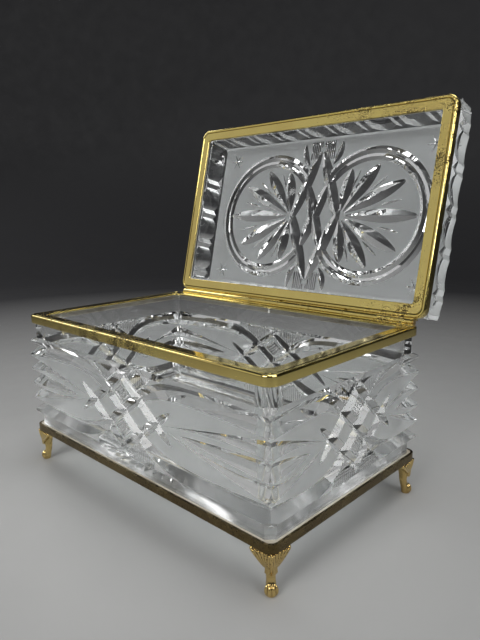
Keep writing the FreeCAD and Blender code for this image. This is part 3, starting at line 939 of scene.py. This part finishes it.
# Points of the section as set-in from the outer face and drop from the flange's face
def rimSection():
    height = rim["height"]
    sheet = rim["sheet"]
    flange = rim["flange"]
    bead = rim["bead"]
    lip = rim["lip"]
    line = rim["lineFrom"]
    lineEnd = line + rim["lineWidth"]
    lineMiddle = (line + lineEnd) / 2
    lineHalf = rim["lineFloor"] / 2
    section = [(rim["lowSetIn"], height - rim["lowEdge"]), (0, height * rim["sideFrom"])]
    section += quarterArc((bead, bead), bead, 180)
    section += [(line, 0.0), (lineMiddle - lineHalf, rim["lineDepth"])]
    section += [(lineMiddle + lineHalf, rim["lineDepth"]), (lineEnd, 0.0)]
    section += [((lineEnd + flange) / 2, 0.0)]
    section += quarterArc((flange - lip, lip), lip, 90)
    section += [(flange, sheet), (sheet, sheet), (sheet, height), (rim["lowEdge"], height)]
    return section


def rimPlan(setIn, height, mouth):
    radius = rim["corner"] - setIn
    if setIn > rim["lineFrom"]:
        share = (setIn - rim["lineFrom"]) / (rim["flange"] - rim["lineFrom"])
        radius = (rim["corner"] - rim["lineFrom"]) * (1 - share) + mouth * share
    halfX = halfLength - rim["setIn"] - setIn
    halfY = halfDepth - rim["setIn"] - setIn
    return roundPlan(height, halfX, halfY, radius, rim["cornerSteps"])


def makeRim(name, face, facing, mouth, body, node, move=None):
    shape = newShape()
    rings = [rimPlan(setIn, face - facing * drop, mouth) for setIn, drop in rimSection()]
    addLoft(shape, rings, joined=True)
    piece = makePiece(name, shape, [giltRim], move)
    shadeCrisp(piece, rim["crease"])
    dress(piece, body, "gilt_brass", node)


makeRim("boxRim", rimTop, 1, rim["boxMouth"], "box", "body_rim")
makeRim("lidRim", parting, -1, rim["lidMouth"], "lid", "lid_rim", lidOpen)
print("rims swept")


# Cast feet: leaf ears along both sides, a narrow ankle and a paw
foot = dict(
    height=footHeight, face=1.15, legSides=28,
    leg=(  # drop, radius, set-in
        (0.0, 3.6, 5.0), (2.6, 3.5, 4.9), (5.0, 3.3, 4.7), (7.5, 2.9, 4.6),
        (10.0, 2.45, 4.6), (12.4, 2.1, 4.7), (14.4, 2.05, 4.5), (16.2, 2.25, 4.0),
        (18.0, 2.5, 3.6), (19.4, 2.4, 3.5), (20.5, 2.2, 3.5),
    ),
    earFrom=1.2, earLength=12.6, earThick=2.4, earThin=0.35, earTip=2.8, earRoot=10.4, earRootAt=3.0,
    earHollow=0.85, earLift=(0.5, 0.4), earKeel=0.4, earSteps=10,
    ribTops=(1.9, 4.0, 6.1, 8.2, 10.3, 12.1), ribStart=(0.4, 2.0), ribEnd=(3.6, 9.8), ribThick=(0.88, 0.5),
    ribOut=0.15, ribFall=1.75, ribBow=0.42, ribSteps=10,
    scroll=(12.3, 1.7, 1.1), scrollIn=0.2,  # along, drop, radius
    spineIn=0.1, spineLean=2.0, spineCurve=1.8, spineTop=0.4, spineLength=10.5, spineThick=(0.95, 0.5),
    toes=(-69, -23, 23, 69), toeReach=1.65, toeSize=(1.6, 0.95, 2.6), toeHeight=2.5,
    voxel=0.2, soften=1, softness=0.5,
)


def between(ends, t):
    return ends[0] * (1 - t) + ends[1] * t


def addTube(shape, line, sides=10):
    turns = [2 * math.pi * i / sides for i in range(sides)]
    rings = []
    for i, (at, thick) in enumerate(line):
        ahead = (line[min(i + 1, len(line) - 1)][0] - line[max(i - 1, 0)][0]).normalized()
        across = ahead.orthogonal().normalized()
        beside = ahead.cross(across)
        rings.append([at + (across * math.cos(turn) + beside * math.sin(turn)) * thick for turn in turns])
    addLoft(shape, rings)


def addEgg(shape, at, long, size, steps=8, sides=12):
    wide = up.cross(long)
    rings = []
    for i in range(steps + 1):
        fall = math.pi * i / steps
        ring = []
        for j in range(sides):
            turn = 2 * math.pi * j / sides
            alongLong = size[0] * math.sin(fall) * math.cos(turn)
            alongWide = size[1] * math.sin(fall) * math.sin(turn)
            ring.append(at + long * alongLong + wide * alongWide + up * (size[2] * math.cos(fall)))
        rings.append(ring[:1] if i in (0, steps) else ring)
    addLoft(shape, rings)


def addEar(shape, place):
    rings = []
    steps = foot["earSteps"]
    high = foot["height"]
    face = foot["face"]
    frontLift, backLift = foot["earLift"]
    for i in range(steps + 1):
        p = foot["earFrom"] + (foot["earLength"] - foot["earFrom"]) * i / steps
        far = max((p - foot["earRootAt"]) / (foot["earLength"] - foot["earRootAt"]), 0)
        drop = foot["earRoot"] - (foot["earRoot"] - foot["earTip"]) * far ** foot["earHollow"]
        low = high - drop
        lowFace = face + foot["ribFall"] * (drop / foot["earRoot"]) ** 2
        thick = foot["earThick"] * (1 - foot["earThin"] * i / steps)
        rings.append([
            place(p, lowFace, low + frontLift), place(p, lowFace + thick * foot["earKeel"], low),
            place(p, lowFace + thick, low + backLift), place(p, face + thick, high), place(p, face, high),
        ])
    addLoft(shape, rings)


def addRibs(shape, place):
    endP, endDrop = foot["ribEnd"]
    firstDrop, lastDrop = foot["ribStart"]
    last = len(foot["ribTops"]) - 1
    for number, top in enumerate(foot["ribTops"]):
        line = []
        startDrop = firstDrop + (lastDrop - firstDrop) * (number / last) ** 2
        bowP = endP + (top - endP) * foot["ribBow"]
        for i in range(foot["ribSteps"] + 1):
            t = i / foot["ribSteps"]
            p = top * (1 - t) ** 2 + 2 * bowP * t * (1 - t) + endP * t ** 2
            q = foot["face"] - foot["ribOut"] + foot["ribFall"] * t ** 2
            drop = between((startDrop, endDrop), t)
            line.append((place(p, q, foot["height"] - drop), between(foot["ribThick"], t)))
        addTube(shape, line)
    p, drop, size = foot["scroll"]
    at = place(p, foot["face"] + foot["scrollIn"], foot["height"] - drop)
    addEgg(shape, at, Vector((1, 0, 0)), (size, size, size))


# The leaf's middle vein, down the outer corner
def addSpine(shape, place):
    line = []
    for i in range(foot["ribSteps"] + 1):
        t = i / foot["ribSteps"]
        inward = foot["face"] + foot["spineIn"] + foot["spineLean"] * t ** foot["spineCurve"]
        height = foot["height"] - foot["spineTop"] - foot["spineLength"] * t
        line.append((place(inward, inward, height), between(foot["spineThick"], t)))
    addTube(shape, line)


def addLeg(shape, place):
    turns = [2 * math.pi * i / foot["legSides"] for i in range(foot["legSides"])]
    rings = []
    for drop, radius, setIn in foot["leg"]:
        ring = []
        for turn in turns:
            p = setIn + radius * math.cos(turn)
            q = setIn + radius * math.sin(turn)
            ring.append(place(p, q, foot["height"] - drop))
        rings.append(ring)
    addLoft(shape, rings)


def makeFoot(name, sideX, sideY, node):
    def place(p, q, h):
        return Vector((sideX * (halfLength - p), sideY * (halfDepth - q), h))

    shape = newShape()
    addLeg(shape, place)
    for along in (place, lambda p, q, h: place(q, p, h)):
        addEar(shape, along)
        addRibs(shape, along)
    addSpine(shape, place)
    paw = foot["leg"][-1][2]
    outward = Vector((sideX, sideY, 0)).normalized()
    for angle in foot["toes"]:
        way = Matrix.Rotation(math.radians(angle), 3, "Z") @ outward
        addEgg(shape, place(paw, paw, foot["toeHeight"]) + way * foot["toeReach"], way, foot["toeSize"])
    piece = makePiece(name, shape, [castBrass])
    melt = piece.modifiers.new("oneCasting", "REMESH")
    melt.mode = "VOXEL"
    melt.voxel_size = foot["voxel"] * mm
    soft = piece.modifiers.new("soften", "SMOOTH")
    soft.factor = foot["softness"]
    soft.iterations = foot["soften"]
    settle(piece)
    for point in piece.data.vertices:
        point.co.z = min(max(point.co.z, 0), foot["height"] * mm)
    piece.data.shade_smooth()
    dress(piece, "box", "cast_brass", node)
    return len(piece.data.polygons)


for sideX, hand in ((1, "Right"), (-1, "Left")):
    for sideY, end in ((1, "back"), (-1, "front")):
        faces = makeFoot(end + hand + "Foot", sideX, sideY, "foot_" + end + "_" + hand.lower())
print("feet cast,", faces, "faces each")


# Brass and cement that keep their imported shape
def finishNode(node, material):
    mesh = nodes[node].data
    mesh.materials.clear()
    mesh.materials.append(material)


for node in ("body_hinge_leaf", "lid_hinge_leaf"):
    finishNode(node, giltRim)
# The base frame takes the brass with painted dark reflection and shade
finishNode("base_frame", paintedShadeBase)
for node in ("hinge_pin", "foot_screws"):
    finishNode(node, plainBrass)
for node in ("body_rim_cement", "lid_rim_cement", "base_cement"):
    finishNode(node, bedCement)
print("mounts finished")


# Table, light and camera, in metres
# Painted light falloff: the table is pale near the box and is painted near black further out and up the
# backdrop
floor = dict(
    radius=1.0, shares=(0.15, 0.5, 1.0), bend=0.5, bendSteps=10, wallTop=2.4, roundSteps=64,
    colour=(0.34, 0.34, 0.335, 1), paintedFalloffColour=(0.03, 0.03, 0.032, 1), paleTo=0.12, paintedFalloffFrom=0.8,
    grain=30.0, smooth=0.5, rough=0.62, gloss=0.2,
)
studio = dict(
    sky=(0.06, 0.06, 0.062, 1), aim=(0, 0.02, 0.08),
    lamps=(  # place, size and power
        ((0.15, -1.05, 0.85), 0.6, 8.0),
        ((1.1, -0.1, 0.8), 0.6, 6.0),
        ((0.2, 0.25, 1.5), 0.8, 9.0),
        ((0.62, -0.46, 1.35), 0.2, 1.2),
        ((-0.75, -0.8, 0.6), 1.1, 1.7),
        ((-1.05, 0.15, 0.8), 0.5, 3.5),
    ),
    glassBounces=24, glossBounces=8,
)


# A round table top that sweeps up into the backdrop, with painted light falloff that darkens it away from the
# box
def makeFloor():
    shape = newShape()
    flat = floor["radius"]
    bend = floor["bend"]
    levels = [(flat * share, 0) for share in floor["shares"]]
    for i in range(1, floor["bendSteps"] + 1):
        turn = math.pi / 2 * i / floor["bendSteps"]
        levels.append((flat + bend * math.sin(turn), bend * (1 - math.cos(turn))))
    levels.append((flat + bend, floor["wallTop"]))
    turns = [2 * math.pi * i / floor["roundSteps"] for i in range(floor["roundSteps"])]
    rings = [[Vector((0, 0, 0))]]
    for radius, height in levels:
        ring = []
        for turn in turns:
            ring.append(Vector((radius * math.cos(turn), radius * math.sin(turn), height)) / mm)
        rings.append(ring)
    addLoft(shape, rings)
    shape["faces"].pop()  # open at the top
    material, tree, shader = newMaterial("paleTable")
    place = objectPlace(tree)
    marks = addMarks(tree, place, floor)
    tree.links.new(marks["Roughness"], shader.inputs["Roughness"])
    # Painted light falloff: darker with distance from the middle of the table
    away = addNode(tree, "ShaderNodeVectorMath", {0: place}, operation="LENGTH").outputs["Value"]
    far = spread(tree, away, floor["paleTo"], floor["paintedFalloffFrom"])
    colour = mixColour(tree, far, floor["colour"], floor["paintedFalloffColour"])
    tree.links.new(colour, shader.inputs["Base Color"])
    shader.inputs["Specular IOR Level"].default_value = floor["gloss"]
    table = makePiece("table", shape, [material])
    table.data.shade_smooth()


def makeWorld():
    world = bpy.data.worlds.new("studio")
    scene.world = world
    world.use_nodes = True
    world.node_tree.nodes["Background"].inputs["Color"].default_value = studio["sky"]


def makeLamps():
    for number, (place, size, power) in enumerate(studio["lamps"]):
        light = bpy.data.lights.new("softbox%d" % number, "AREA")
        light.shape = "SQUARE"
        light.size = size
        light.energy = power
        lamp = bpy.data.objects.new(light.name, light)
        scene.collection.objects.link(lamp)
        lamp.location = place
        lamp.visible_camera = False
        aim = Vector(studio["aim"]) - Vector(place)
        lamp.rotation_euler = aim.to_track_quat("-Z", "Y").to_euler()


# The photograph's view: degrees, millimetres, and pixels for the focal length and the picture's height
view = dict(
    yaw=44.18, pitch=11.49, roll=0.99, place=(230.77, -211.51, 158.25),
    focal=555.85, pictureHeight=640, sensor=36.0, near=10.0,
)


def makeCamera():
    yaw = math.radians(view["yaw"])
    pitch = math.radians(view["pitch"])
    roll = math.radians(view["roll"])
    ahead = Vector((-math.sin(yaw) * math.cos(pitch), math.cos(yaw) * math.cos(pitch), -math.sin(pitch)))
    level = Vector((math.cos(yaw), math.sin(yaw), 0))
    down = ahead.cross(level)
    right = level * math.cos(roll) + down * math.sin(roll)
    top = level * math.sin(roll) - down * math.cos(roll)
    data = bpy.data.cameras.new("camera")
    data.sensor_width = view["sensor"]
    data.sensor_height = view["sensor"]
    data.sensor_fit = "AUTO"
    data.lens = view["focal"] / view["pictureHeight"] * view["sensor"]
    data.clip_start = view["near"] * mm
    camera = bpy.data.objects.new("camera", data)
    scene.collection.objects.link(camera)
    turn = Matrix((right, top, -ahead)).transposed().to_4x4()
    camera.matrix_world = Matrix.Translation(Vector(view["place"]) * mm) @ turn
    scene.camera = camera


makeFloor()
makeWorld()
makeLamps()
makeCamera()
scene.cycles.max_bounces = studio["glassBounces"]
scene.cycles.transmission_bounces = studio["glassBounces"]
scene.cycles.transparent_max_bounces = studio["glassBounces"]
scene.cycles.glossy_bounces = studio["glossBounces"]
print("studio set")
